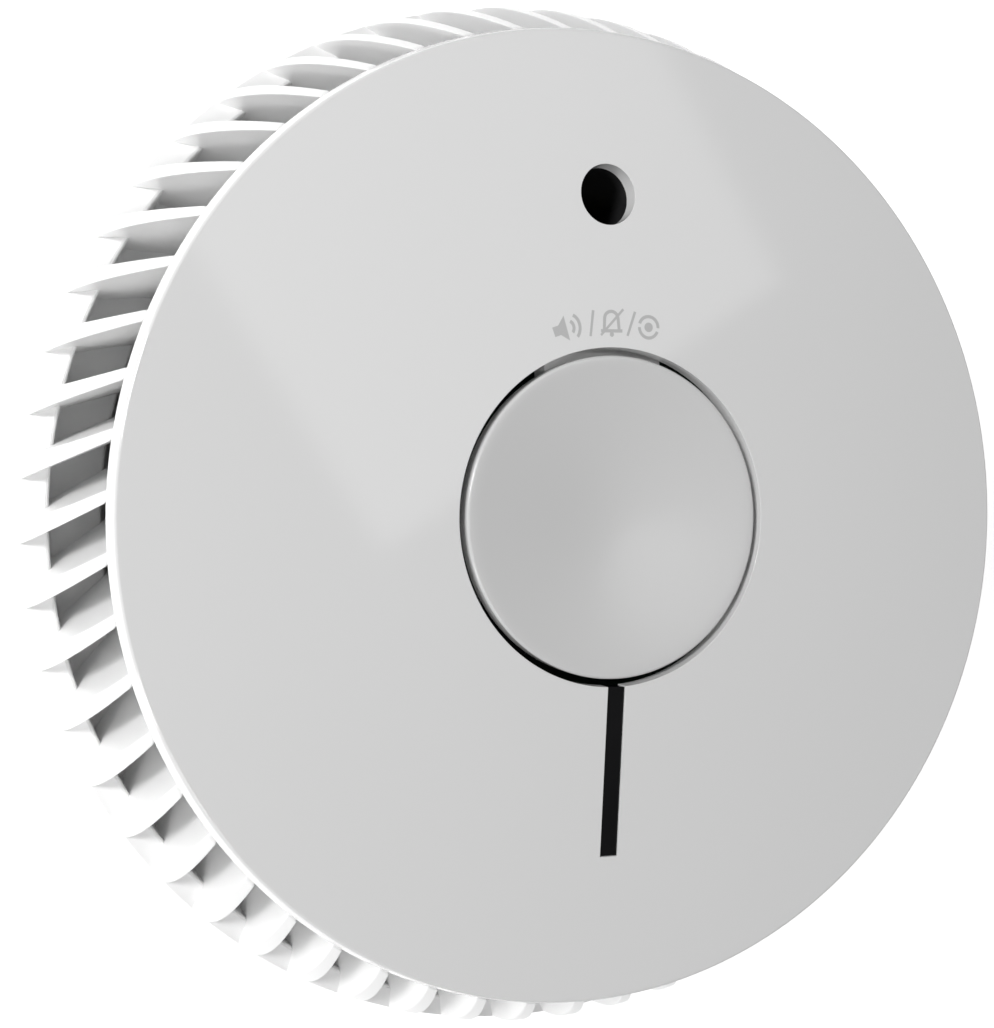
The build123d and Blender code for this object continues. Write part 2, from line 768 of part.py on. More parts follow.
# ================================================================== sealed lithium cell
cell_axis = Plane((cell_x, cell_y - cell_length / 2, cell_height), x_dir=(1, 0, 0), z_dir=(0, 1, 0))
with BuildPart() as lithium_cell:
    with BuildSketch(cell_axis):
        Circle(cell_radius)
    extrude(amount=cell_length)
    fillet(lithium_cell.edges(), radius=0.8)
    with BuildSketch(cell_axis.offset(cell_length)):
        Circle(2.6)
    extrude(amount=0.8)
lithium_cell.part.label = "lithium_cell"
export_step(lithium_cell.part, "parts/lithium_cell.step")

saddle_half_length = 11.0
saddle_width = 13.0
saddle_height = 4.2
with BuildPart() as cell_saddle:
    with BuildSketch(Plane.XY.offset(board_top)):
        with Locations((cell_x, cell_y)):
            Rectangle(saddle_width, 2 * saddle_half_length)
    extrude(amount=saddle_height)
    with BuildSketch(cell_axis):
        Circle(cell_radius + 0.05)
    extrude(amount=cell_length, mode=Mode.SUBTRACT)
cell_saddle.part.label = "cell_saddle"
export_step(cell_saddle.part, "parts/cell_saddle.step")

cell_cap_height = 0.8
with BuildPart() as cell_tabs:
    far_end = cell_y + cell_length / 2 + cell_cap_height
    near_end = cell_y - cell_length / 2
    for end, side in ((far_end, 1), (near_end, -1)):
        with BuildSketch(Plane.XY.offset(board_top)):
            with Locations((cell_x, end + side * 0.1)):
                Rectangle(4.0, 0.2)
        extrude(amount=cell_height + 2.0 - board_top)
cell_tabs.part.label = "cell_tabs"
export_step(cell_tabs.part, "parts/cell_tabs.step")


# ================================================================== power switch, worked by the plate's peg
peg_x, peg_y = at(peg_orbit, peg_angle)
switch_face = Plane(
    origin=(peg_x, peg_y, 0),
    x_dir=(sin(radians(peg_angle)), -cos(radians(peg_angle)), 0),
    z_dir=(0, 0, 1),
)
slide_travel = peg_orbit * radians(twist_angle)
knob_post = 2.2
switch_bottom = 8.4
slide_bottom = 5.6
slide_size = (7.0, 7.4)
fork_depth = 2.2
with BuildPart() as power_switch:
    with BuildSketch(switch_face.offset(switch_bottom)):
        with Locations((slide_travel / 2, 0)):
            Rectangle(13.0, 6.0)
    extrude(amount=board_bottom - switch_bottom)
    with BuildSketch(switch_face.offset(switch_bottom)):
        with Locations((slide_travel / 2, 0)):
            Rectangle(slide_travel + knob_post + 0.6, knob_post + 0.4)
    extrude(amount=2.2, mode=Mode.SUBTRACT)
power_switch.part.label = "power_switch"
export_step(power_switch.part, "parts/power_switch.step")

with BuildPart() as power_switch_slide:
    with BuildSketch(switch_face.offset(slide_bottom)):
        Rectangle(*slide_size)
        SlotOverall(2 * peg_radius + 2.4, 2 * peg_radius + 0.7, rotation=90, mode=Mode.SUBTRACT)
    extrude(amount=fork_depth)
    with BuildSketch(switch_face.offset(slide_bottom + fork_depth)):
        Rectangle(*slide_size)
    extrude(amount=0.4)
    with BuildSketch(switch_face.offset(slide_bottom + fork_depth + 0.4)):
        Rectangle(knob_post, knob_post)
    extrude(amount=2.0)
power_switch_slide.part.label = "power_switch_slide"
export_step(power_switch_slide.part, "parts/power_switch_slide.step")


# ================================================================== parts on the board
controller_spot = (-9.5, -30.5)
controller_size = 6.5
inductor_spot = (7.5, -26.0)
inductor_flange = 4.0
inductor_core = 3.0
inductor_gap = 5.0        # winding space between the two flanges
capacitor_spot = (-14.0, 20.5)
with BuildPart() as microcontroller:
    with BuildSketch(Plane.XY.offset(board_top + 0.15)):
        with Locations(controller_spot):
            Rectangle(controller_size, controller_size)
    extrude(amount=1.0)
    with BuildSketch(Plane.XY.offset(board_top)):
        with Locations(controller_spot):
            for turn in (0, 90):
                for side in (-3.55, 3.55):
                    for pin in range(-3, 4):
                        spot = (side, pin * 0.8) if turn == 0 else (pin * 0.8, side)
                        with Locations(spot):
                            Rectangle(1.1, 0.35, rotation=turn)
    extrude(amount=0.3)
microcontroller.part.label = "microcontroller"
export_step(microcontroller.part, "parts/microcontroller.step")

with BuildPart() as boost_inductor:
    with BuildSketch(Plane.XY.offset(board_top)):
        with Locations(inductor_spot):
            Circle(inductor_flange)
    extrude(amount=1.0)
    with BuildSketch(Plane.XY.offset(board_top + 1.0)):
        with Locations(inductor_spot):
            Circle(inductor_core)
    extrude(amount=inductor_gap)
    with BuildSketch(Plane.XY.offset(board_top + 1.0 + inductor_gap)):
        with Locations(inductor_spot):
            Circle(inductor_flange)
    extrude(amount=1.0)
boost_inductor.part.label = "boost_inductor"
export_step(boost_inductor.part, "parts/boost_inductor.step")

with BuildPart() as inductor_winding:
    with BuildSketch(Plane.XY.offset(board_top + 1.1)):
        with Locations(inductor_spot):
            Circle(inductor_flange - 0.2)
            Circle(inductor_core + 0.05, mode=Mode.SUBTRACT)
    extrude(amount=inductor_gap - 0.2)
inductor_winding.part.label = "inductor_winding"
export_step(inductor_winding.part, "parts/inductor_winding.step")

with BuildPart() as storage_capacitor:
    with BuildSketch(Plane.XY.offset(board_top)):
        with Locations(capacitor_spot):
            Circle(3.15)
    extrude(amount=11.0)
    fillet(storage_capacitor.edges().group_by(Axis.Z)[-1], radius=0.5)
storage_capacitor.part.label = "storage_capacitor"
export_step(storage_capacitor.part, "parts/storage_capacitor.step")

chip_spots = (
    (4.0, 2.0), (4.0, 5.0), (4.0, 8.0), (9.0, 2.0), (9.0, 5.0),
    (-3.5, 13.5), (0.0, 13.5), (3.5, 13.5), (14.0, -32.0), (13.0, -28.5),
)
with BuildPart() as chip_resistors:
    with BuildSketch(Plane.XY.offset(board_top)):
        with Locations(*chip_spots):
            Rectangle(2.0, 1.25)
    extrude(amount=0.55)
chip_resistors.part.label = "chip_resistors"
export_step(chip_resistors.part, "parts/chip_resistors.step")

capacitor_spots = ((9.0, 8.5), (9.0, 12.0), (-7.5, 16.5), (-20.5, -35.0), (-16.5, -35.5), (5.0, -34.5))
with BuildPart() as chip_capacitors:
    with BuildSketch(Plane.XY.offset(board_top)):
        with Locations(*capacitor_spots):
            Rectangle(1.25, 2.0)
    extrude(amount=0.9)
chip_capacitors.part.label = "chip_capacitors"
export_step(chip_capacitors.part, "parts/chip_capacitors.step")
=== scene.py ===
# %% [markdown]
# # A round smoke alarm, seen from in front
#
# The alarm is a flat white disc with a big button in the middle, standing on a flared ring of
# swirl vanes. Its sizes come from the imported frame, which also holds every hidden piece: the
# circuit board, the optical chamber, the cell and the sounder. Here we give the pieces that
# show a finer shape, and give every piece a finish.
#
# The first cell loads the frame.

# %% Load the frame
import bpy
import bmesh
import json
from math import cos, cosh, log, pi, radians, sin, sqrt
from mathutils import Euler, Matrix, Vector


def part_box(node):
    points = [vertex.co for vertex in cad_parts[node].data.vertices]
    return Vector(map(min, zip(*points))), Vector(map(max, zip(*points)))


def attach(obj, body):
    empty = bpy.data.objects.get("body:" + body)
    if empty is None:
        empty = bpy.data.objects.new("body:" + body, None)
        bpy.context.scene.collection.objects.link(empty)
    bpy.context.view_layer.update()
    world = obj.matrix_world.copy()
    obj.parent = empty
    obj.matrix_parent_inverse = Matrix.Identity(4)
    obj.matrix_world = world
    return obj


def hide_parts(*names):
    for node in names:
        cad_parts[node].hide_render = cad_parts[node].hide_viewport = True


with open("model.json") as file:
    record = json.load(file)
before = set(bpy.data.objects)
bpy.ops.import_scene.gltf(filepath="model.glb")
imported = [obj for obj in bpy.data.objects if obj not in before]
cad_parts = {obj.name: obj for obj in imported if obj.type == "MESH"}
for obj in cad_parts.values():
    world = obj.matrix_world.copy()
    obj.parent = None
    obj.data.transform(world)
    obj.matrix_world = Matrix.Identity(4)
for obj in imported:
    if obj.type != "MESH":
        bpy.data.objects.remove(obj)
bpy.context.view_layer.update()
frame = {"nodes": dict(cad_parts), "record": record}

MM = 0.001

# %% [markdown]
# ## Sizes worth a name
#
# A turned shape is easiest to think of in millimetres from the alarm's axis. The height of the
# face is read off the frame's own cover, so the fine pieces can't drift from the plain ones. The
# other sizes are those that the frame was built with.

# %% Main sizes, in millimetres
FACE = (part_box("front_cover")[1] / MM).z
WIDEST = (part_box("vent_ring")[1] / MM).x
COVER_RADIUS = 50.0
COVER_FLARE = 0.65
COVER_THICKNESS = 1.8
COVER_BACK = FACE - COVER_THICKNESS
BUTTON_OPENING = 17.6
FLANGE_RADIUS = 58.5
HINGE_TURN = radians(3.9)
PORT = Vector((-2.12, 33.26))
PORT_RADIUS = 3.12
SLOT_WIDTH = 2.05
SLOT_END = 35.2
SLOT_SHIFT = 0.11
SLOT_LEAN = radians(-1.5)
CASE_POSTS = [radians(angle) for angle in (60, 180, 300)]
CASE_POST_ORBIT = 38.8
CASE_POST_RADIUS = 2.75
CASE_POST_BOTTOM = 11.7
SCREW_PILOT = 1.3
HINGE_OFFSET = 20.6
HINGE_HEIGHT = 33.3
PIN_RADIUS = 0.9
EAR_INNER = 7.1
EAR_OUTER = 8.8
EAR_WIDTH = 4.4
TONGUE_HALF_WIDTH = 6.8
print("face at", round(FACE, 2), "mm, widest circle", round(WIDEST, 2), "mm")

# %% [markdown]
# ## Helpers for turned shapes
#
# Most of this object is turned: a profile spun round the axis. `rounded` gives chosen corners
# of a profile a radius, which is what makes moulded plastic look moulded, because every edge
# catches a thin line of light. `lathe` spins the profile into a closed mesh.

# %% Round the corners of a profile
def rounded(corners, steps=4):
    """Corners are (x, y) or (x, y, radius). Each radius becomes a short curve of steps."""
    points = []
    count = len(corners)
    for i, corner in enumerate(corners):
        here = Vector(corner[:2])
        radius = corner[2] if len(corner) > 2 else 0.0
        if radius == 0.0:
            points.append(here)
            continue
        before = Vector(corners[i - 1][:2]) - here
        after = Vector(corners[(i + 1) % count][:2]) - here
        half = before.angle(after) / 2
        reach = radius * cos(half) / sin(half)
        start = here + before.normalized() * reach
        end = here + after.normalized() * reach
        inwards = (before.normalized() + after.normalized()).normalized()
        centre = here + inwards * (radius / sin(half))
        for k in range(steps + 1):
            blend = start.lerp(end, k / steps) - centre
            points.append(centre + blend.normalized() * radius)
    return points


square = rounded([(0, 0, 1), (4, 0, 1), (4, 4, 1), (0, 4, 1)])
print("a square with rounded corners has", len(square), "points")


# %% Spin a profile, or raise an outline
def lathe(work, profile, segments=256, centre=(0.0, 0.0)):
    """Add a closed turned shape to the bmesh. The profile is a closed loop of (radius, height)."""
    rings = []
    for k in range(segments):
        turn = 2 * pi * k / segments
        rings.append([
            work.verts.new((centre[0] + p[0] * cos(turn), centre[1] + p[0] * sin(turn), p[1]))
            for p in profile
        ])
    count = len(profile)
    for k in range(segments):
        ring, following = rings[k], rings[(k + 1) % segments]
        for i in range(count):
            j = (i + 1) % count
            work.faces.new((ring[i], ring[j], following[j], following[i]))


def prism(work, outline, low, high, place=Matrix.Identity(4)):
    """Add a closed prism over a flat outline. place turns and moves it."""
    bottom = [work.verts.new(place @ Vector((x, y, low))) for x, y in outline]
    top = [work.verts.new(place @ Vector((x, y, high))) for x, y in outline]
    work.faces.new(bottom)
    work.faces.new(top)
    for i in range(len(outline)):
        j = (i + 1) % len(outline)
        work.faces.new((bottom[i], bottom[j], top[j], top[i]))


def circle(radius, points=48, centre=(0.0, 0.0)):
    """Outline of a circle."""
    turns = [2 * pi * k / points for k in range(points)]
    return [(centre[0] + radius * cos(turn), centre[1] + radius * sin(turn)) for turn in turns]


def rectangle(left, right, bottom, top):
    """Outline of a rectangle."""
    return [(left, bottom), (right, bottom), (right, top), (left, top)]


print("a circle has", len(circle(1.0)), "points unless a call asks for more")


# %% Put a mesh in the scene
SHARP = radians(30)       # two faces that meet at more than this keep a crisp edge


def as_object(name, work, body):
    """Turn a bmesh in millimetres into a smooth-shaded object in metres that rides on a body."""
    bmesh.ops.remove_doubles(work, verts=work.verts, dist=1e-5)
    bmesh.ops.recalc_face_normals(work, faces=work.faces)
    bmesh.ops.scale(work, vec=(MM, MM, MM), verts=work.verts)
    mesh = bpy.data.meshes.new(name)
    work.to_mesh(mesh)
    work.free()
    mesh.shade_smooth()
    mesh.set_sharp_from_angle(angle=SHARP)
    piece = bpy.data.objects.new(name, mesh)
    bpy.context.collection.objects.link(piece)
    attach(piece, body)
    print(name, len(mesh.vertices), "points", len(mesh.polygons), "faces")
    return piece


def soften_edges(piece, width):
    """Give every edge sharper than 50 degrees a small rounded bevel, width in millimetres."""
    modifier = piece.modifiers.new("moulded edges", "BEVEL")
    modifier.width = width * MM
    modifier.segments = 2
    modifier.limit_method = "ANGLE"
    modifier.angle_limit = radians(50)


def weigh_normals(piece):
    """Let big flat faces keep their flat shading next to small rounded edges."""
    modifier = piece.modifiers.new("flat faces stay flat", "WEIGHTED_NORMAL")
    modifier.keep_sharp = True
    modifier.weight = 100


# %% [markdown]
# ## The front cover
#
# The real cover is a flat moulding about 1.8 mm thick, with a rim that flares a little towards
# the back. We turn the disc, then cut the sounder port and the status slot with Booleans, and
# bevel the fresh edges. The posts and the ears for the button's hinge stand on its back.

# %% Turn the cover's disc, and stand the posts and hinge ears on its back
hinge_turned = Matrix.Rotation(HINGE_TURN, 4, "Z")
hinge_place = hinge_turned @ Matrix.Translation((0, HINGE_OFFSET, HINGE_HEIGHT))
along_hinge = hinge_place @ Matrix.Rotation(pi / 2, 4, "Y")
RIB_RADIUS = 43.6
RIB_INNER = RIB_RADIUS - 1.2
RIB_BOTTOM = COVER_BACK - 2.0
SUNK = 0.2                # how far a post or an ear reaches into the disc that carries it


def cover_disc():
    work = bmesh.new()
    lathe(work, rounded([
        (BUTTON_OPENING, COVER_BACK, 0.1),
        (BUTTON_OPENING, FACE, 0.06),
        (COVER_RADIUS, FACE, 0.4),
        (COVER_RADIUS + COVER_FLARE, COVER_BACK, 0.12),
    ]))
    lathe(work, rounded([
        (RIB_INNER, COVER_BACK + SUNK),
        (RIB_RADIUS, COVER_BACK + SUNK),
        (RIB_RADIUS, RIB_BOTTOM, 0.3),
        (RIB_INNER, RIB_BOTTOM, 0.3),
    ]))
    for turn in CASE_POSTS:
        spot = (CASE_POST_ORBIT * cos(turn), CASE_POST_ORBIT * sin(turn))
        lathe(work, rounded([
            (SCREW_PILOT, COVER_BACK + SUNK),
            (CASE_POST_RADIUS, COVER_BACK + SUNK),
            (CASE_POST_RADIUS, CASE_POST_BOTTOM, 0.2),
            (SCREW_PILOT, CASE_POST_BOTTOM, 0.1),
        ]), 48, spot)
    half_height = COVER_BACK - HINGE_HEIGHT
    for low, high in ((-EAR_OUTER, -EAR_INNER), (EAR_INNER, EAR_OUTER)):
        ear = rectangle(-half_height - SUNK, half_height, -EAR_WIDTH / 2, EAR_WIDTH / 2)
        prism(work, ear, low, high, along_hinge)
    return work


cover = as_object("front_cover_moulding", cover_disc(), "alarm")


# %% Cut the port and the slot
def cutter(name, outline, low, high, place=Matrix.Identity(4)):
    """A hidden prism to cut with."""
    work = bmesh.new()
    prism(work, outline, low, high, place)
    return as_object(name, work, "alarm")


def cut(piece, tool):
    """Apply a Boolean cut, then throw the tool away."""
    modifier = piece.modifiers.new("cut", "BOOLEAN")
    modifier.operation = "DIFFERENCE"
    modifier.solver = "EXACT"
    modifier.object = tool
    bpy.context.view_layer.objects.active = piece
    bpy.ops.object.modifier_apply(modifier=modifier.name)
    bpy.data.objects.remove(tool)


SLOT_LENGTH = SLOT_END - BUTTON_OPENING
SLOT_TOP = SLOT_LENGTH / 2 + 2       # reaches into the button's opening, so the slot is open there
PAST = 3                             # how far a tool reaches past the cover's two faces
PIN_CLEARANCE = 0.05
slot_middle = Matrix.Translation((SLOT_SHIFT, -(SLOT_END + BUTTON_OPENING) / 2, 0))
slot_place = slot_middle @ Matrix.Rotation(SLOT_LEAN, 4, "Z")
slot_outline = [
    (slot_place @ Vector((x, y, 0))).to_2d()
    for x, y in (
        (-SLOT_WIDTH / 2, SLOT_TOP),
        (-SLOT_WIDTH / 2, -SLOT_LENGTH / 2),
        (SLOT_WIDTH / 2, -SLOT_LENGTH / 2),
        (SLOT_WIDTH / 2, SLOT_TOP),
    )
]
pin_hole = circle(PIN_RADIUS + PIN_CLEARANCE, 32)
cut(cover, cutter("port tool", circle(PORT_RADIUS, 64, PORT), COVER_BACK - PAST, FACE + PAST))
cut(cover, cutter("slot tool", slot_outline, COVER_BACK - PAST, FACE + PAST))
cut(cover, cutter("pin tool", pin_hole, -EAR_OUTER - 1, EAR_OUTER + 1, along_hinge))
cover.data.shade_smooth()
cover.data.set_sharp_from_angle(angle=SHARP)
soften_edges(cover, 0.12)
weigh_normals(cover)
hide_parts("front_cover")
print("cover after cutting:", len(cover.data.polygons), "faces")


# %% [markdown]
# ## The test button
#
# The button is a wide disc with a soft dish in it for a finger, and a crisp little radius at
# its edge. The dish falls at an even slope to a softly rounded middle. A tongue behind its top
# edge carries it, and a stem reaches down to the switch. The disc is turned like the cover, and
# the tongue, pin and stem are prisms that reach a little into it.

# %% Turn the button, and add its tongue, pin and stem
BUTTON_RADIUS = 16.8
BUTTON_BACK = FACE - 2.2
BUTTON_EDGE = 0.28
DISH_RADIUS = BUTTON_RADIUS - BUTTON_EDGE
DISH_SLOPE = 0.12
DISH_MIDDLE = 4.2
TONGUE_START = 12.0
TONGUE_BOTTOM = 32.2
BARREL_RADIUS = 1.5
PIN_END = EAR_OUTER - 0.1
MIDDLE = 1e-3             # a turned profile stops just short of the axis
STEM_OFFSET = 12.0
STEM_RADIUS = 2.0
STEM_BOTTOM = 22.0


def dish_height(radius):
    """Height of the finger dish: a very flat funnel with a softly rounded middle."""
    rise = log(cosh(DISH_RADIUS / DISH_MIDDLE)) - log(cosh(radius / DISH_MIDDLE))
    return FACE - DISH_SLOPE * DISH_MIDDLE * rise


def button_shape():
    work = bmesh.new()
    dish = [(r, dish_height(r)) for r in [DISH_RADIUS * k / 32 for k in range(31, 0, -1)]]
    border = rounded([
        (MIDDLE, BUTTON_BACK),
        (BUTTON_RADIUS, BUTTON_BACK, 0.2),
        (BUTTON_RADIUS, FACE, BUTTON_EDGE),
    ])
    lathe(work, [*border, *dish, (MIDDLE, dish_height(0))], 192)
    tongue = rectangle(-TONGUE_HALF_WIDTH, TONGUE_HALF_WIDTH, TONGUE_START, HINGE_OFFSET)
    prism(work, tongue, TONGUE_BOTTOM, BUTTON_BACK + 0.02, hinge_turned)
    prism(work, circle(BARREL_RADIUS), -TONGUE_HALF_WIDTH, TONGUE_HALF_WIDTH, along_hinge)
    prism(work, circle(PIN_RADIUS), -PIN_END, PIN_END, along_hinge)
    stem = circle(STEM_RADIUS, 48, (0, -STEM_OFFSET))
    prism(work, stem, STEM_BOTTOM, BUTTON_BACK + SUNK, hinge_turned)
    return work


button = as_object("test_button_moulding", button_shape(), "test_button")
soften_edges(button, 0.08)
weigh_normals(button)
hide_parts("test_button")
print("the dish is", round(FACE - dish_height(0), 2), "mm deep in the middle")


# %% [markdown]
# ## The vent ring
#
# Behind the cover stand 57 thin vanes, all slanted the same way, so smoke can drift in from any
# side while light can't. Each vane is a slab that stands straight up from the flange. Its
# anticlockwise side is straight, its clockwise side leans so that the moulding can leave its
# tool, and its outer edge follows the alarm's flared outline. We build one vane as a stack of
# level outlines with the same number of points each, skin it, and spin copies round the axis.

# %% Outline of the ring from the side
VANES = 57
VANE_TURN = radians(0.92)
VANE_SLANT = radians(27.8)
VANE_TOP = COVER_BACK - 0.1
VANE_FOOT = 16.3
VANE_INNER = 45.0
TIP = 57.65
TIP_HEIGHT = 21.1
TROUGH = 16.6
FRONT_THICKNESS = 1.0
REAR_THICKNESS = 2.3
OUTLINE_START = 50.75     # radius at the vanes' top ends
OUTLINE_SLOPE = 0.779     # how fast it grows there
OUTLINE_CURVE = 0.0204    # how the growth slows down further back
SET_BACK = 0.15           # a vane's foot is hidden in the flange's slope


def outer_radius(height):
    """Radius of the flared outline at a height. It swells outwards between cover and flange."""
    drop = VANE_TOP - max(height, TIP_HEIGHT)
    sunk = SET_BACK if height < TIP_HEIGHT else 0.0
    return OUTLINE_START + OUTLINE_SLOPE * drop - OUTLINE_CURVE * drop * drop - sunk


for height in (VANE_TOP, TIP_HEIGHT):
    print("radius at", round(height, 2), "mm:", round(outer_radius(height), 2), "mm")


# %% One vane
VANE_CORNER = 0.22        # radius of its outer corners
VANE_TOP_EDGE = 0.25      # radius along its top


def crossing(start, along, radius):
    """How far along a line its nearer crossing of a circle about the axis is."""
    b = start.dot(along)
    root = sqrt(b * b - start.length_squared + radius * radius)
    return -b - root


def vane_level(height, shrink):
    """Plan outline of a vane at one height, drawn in by shrink on every side."""
    along = Vector((-cos(VANE_SLANT), -sin(VANE_SLANT)))
    clockwise = Vector((sin(VANE_SLANT), -cos(VANE_SLANT)))
    lean = (VANE_TOP - height) / (VANE_TOP - TROUGH)
    thickness = FRONT_THICKNESS + (REAR_THICKNESS - FRONT_THICKNESS) * lean
    near = Vector((TIP, 0.0)) + clockwise * shrink
    far = Vector((TIP, 0.0)) + clockwise * (thickness - shrink)
    outer = outer_radius(height) - shrink
    inner = VANE_INNER + shrink
    corners = []
    for line, radii in ((near, (inner, outer)), (far, (outer, inner))):
        for radius in radii:
            corners.append(line + along * crossing(line, along, radius))
    near_inner, near_outer, far_outer, far_inner = corners
    middle = (near_outer + far_outer) / 2
    bulge = middle.normalized() * outer
    arc = []
    for corner, before, after in (
        (near_outer, near_inner, bulge), (far_outer, bulge, far_inner),
    ):
        start = corner + (before - corner).normalized() * VANE_CORNER
        reach = min(VANE_CORNER, (after - corner).length * 0.8)
        end = corner + (after - corner).normalized() * reach
        for k in range(5):
            t = k / 4
            arc.append(start.lerp(corner, t).lerp(corner.lerp(end, t), t))
        if corner is near_outer:
            arc.append(bulge)
    near_middle = near_inner.lerp(near_outer, 0.5)
    far_middle = far_inner.lerp(far_outer, 0.5)
    return [near_inner, near_middle, *arc, far_middle, far_inner]


def add_vane(work, turn):
    """Skin one vane from its level outlines, turned about the axis."""
    levels = [(VANE_FOOT, 0.0)]
    for k in range(10):
        levels.append((TIP_HEIGHT + (VANE_TOP - VANE_TOP_EDGE - TIP_HEIGHT) * k / 9, 0.0))
    for bend in (radians(30), radians(60), radians(90)):
        height = VANE_TOP - VANE_TOP_EDGE * (1 - sin(bend))
        levels.append((height, VANE_TOP_EDGE * (1 - cos(bend))))
    spin = Matrix.Rotation(turn, 2)
    rings = []
    for height, shrink in levels:
        ring = [spin @ point for point in vane_level(height, shrink)]
        rings.append([work.verts.new((point.x, point.y, height)) for point in ring])
    for lower, upper in zip(rings, rings[1:]):
        for i in range(len(lower)):
            j = (i + 1) % len(lower)
            work.faces.new((lower[i], lower[j], upper[j], upper[i]))
    work.faces.new(rings[0])
    work.faces.new(rings[-1])


print("a vane's outline has", len(vane_level(VANE_FOOT, 0.0)), "points")


# %% The whole ring
FLANGE_BACK = 15.0
FLANGE_SHOULDER = 18.2
FLANGE_INNER = 49.6
LIP_RADIUS = 54.9         # inner side of the flange's raised lip
LIP_HEIGHT = 22.85
SPIGOT_INNER = 53.6       # the spigot centres the ring in the rear shell
SPIGOT_OUTER = 55.4
SPIGOT_BOTTOM = 13.4
HOOP_INNER = 43.7         # the hoop ties the vanes' inner ends together under the cover
HOOP_OUTER = 46.5
HOOP_BOTTOM = VANE_TOP - 1.5


def ring_shape():
    work = bmesh.new()
    lathe(work, rounded([
        (FLANGE_INNER, FLANGE_BACK),
        (FLANGE_RADIUS, FLANGE_BACK, 0.9),
        (FLANGE_RADIUS, FLANGE_SHOULDER, 1.6),
        (TIP, TIP_HEIGHT, 0.25),
        (LIP_RADIUS, LIP_HEIGHT, 0.3),
        (LIP_RADIUS, TROUGH, 0.4),
        (FLANGE_INNER, TROUGH, 0.3),
    ]), 342)
    lathe(work, rounded([
        (SPIGOT_INNER, SPIGOT_BOTTOM, 0.2),
        (SPIGOT_OUTER, SPIGOT_BOTTOM, 0.2),
        (SPIGOT_OUTER, FLANGE_BACK + SUNK),
        (SPIGOT_INNER, FLANGE_BACK + SUNK),
    ]), 256)
    lathe(work, rounded([
        (HOOP_INNER, HOOP_BOTTOM),
        (HOOP_OUTER, HOOP_BOTTOM),
        (HOOP_OUTER, VANE_TOP),
        (HOOP_INNER, VANE_TOP),
    ]), 256)
    for k in range(VANES):
        add_vane(work, VANE_TURN + 2 * pi * k / VANES)
    return work


vent_ring = as_object("vent_ring_moulding", ring_shape(), "alarm")
weigh_normals(vent_ring)
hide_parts("vent_ring")


# %% [markdown]
# ## Printed signs
#
# A row of small grey signs is printed on the face above the button: a sounding speaker, a
# crossed-out bell and a push mark, with strokes between them. Ink has almost no thickness, so
# each sign is a prism a hundredth of a millimetre high, bent to the circle it's printed on.

# %% Signs on an arc above the button
SIGN_RADIUS = 20.2
SIGN_MIDDLE = radians(94.95)
INK_DEPTH = 0.012


def arc_band(inner, outer, start, end, centre=(0.0, 0.0), steps=12):
    """Outline of a curved stroke between two radii and two angles in degrees."""
    turns = [radians(start + (end - start) * k / steps) for k in range(steps + 1)]
    far = [(centre[0] + outer * cos(a), centre[1] + outer * sin(a)) for a in turns]
    near = [(centre[0] + inner * cos(a), centre[1] + inner * sin(a)) for a in reversed(turns)]
    return far + near


def stroke(start, end, width):
    """Outline of a straight stroke."""
    start, end = Vector(start), Vector(end)
    side = (end - start).normalized().orthogonal() * width / 2
    return [tuple(start + side), tuple(start - side), tuple(end - side), tuple(end + side)]


INK = 0.34                # width of a pen stroke
speaker = [
    [(-1.9, -0.5), (-1.2, -0.5), (-0.35, -1.3), (-0.35, 1.3), (-1.2, 0.5), (-1.9, 0.5)],
    arc_band(0.60, 0.60 + INK, -50, 50, (-0.3, 0)),
    arc_band(1.30, 1.30 + INK, -50, 50, (-0.3, 0)),
]
bell = [
    arc_band(0.60, 0.60 + INK, 0, 180, (0, 0.35)),
    stroke((-0.77, 0.38), (-0.90, -0.75), INK),
    stroke((0.77, 0.38), (0.90, -0.75), INK),
    stroke((-1.3, -0.85), (1.3, -0.85), INK),
    circle(0.26, 16, (0, -1.25)),
    stroke((-1.35, -1.3), (1.35, 1.4), 0.26),
]
push_mark = [
    arc_band(0.95, 0.95 + INK, 10, 170),
    arc_band(0.95, 0.95 + INK, 190, 350),
    circle(0.5, 24),
]
divider = [stroke((-0.35, -1.3), (0.35, 1.3), 0.28)]
row = [(-4.5, speaker), (-1.95, divider), (0.35, bell), (2.65, divider), (4.75, push_mark)]
LAYER_STEP = 0.001        # each stroke's top lies this much lower than the last one's


def printed_signs():
    """Bend each stroke to the arc. Each lies a hair lower than the last, so no two tops coincide."""
    work = bmesh.new()
    for middle, strokes in row:
        for layer, outline in enumerate(strokes):
            bent = []
            for x, y in outline:
                turn = SIGN_MIDDLE - (middle + x) / SIGN_RADIUS
                bent.append(((SIGN_RADIUS + y) * cos(turn), (SIGN_RADIUS + y) * sin(turn)))
            prism(work, bent, FACE - INK_DEPTH, FACE + INK_DEPTH - LAYER_STEP * layer)
    return work


signs = as_object("printed_signs", printed_signs(), "alarm")


# %% [markdown]
# ## Finishes
#
# Every finish is made of nodes. White moulded plastic isn't one flat white: the tool leaves a
# very fine grain, and gloss varies a little over a large face. An image could carry that, but
# noise nodes need no file and work at any size. So three small helpers drift the shade, drift
# the gloss and add the grain, and every finish is made with them.

# %% White satin plastic
def new_finish(name, colour, roughness):
    """A material with its main shader ready."""
    material = bpy.data.materials.new(name)
    material.use_nodes = True
    shader = material.node_tree.nodes["Principled BSDF"]
    shader.inputs["Base Color"].default_value = (*colour, 1.0)
    shader.inputs["Roughness"].default_value = roughness
    return material, shader


def add_node(material, kind, **inputs):
    """Add a node and set inputs by name, with spaces written as underscores."""
    node = material.node_tree.nodes.new(kind)
    for key, value in inputs.items():
        node.inputs[key.replace("_", " ")].default_value = value
    return node


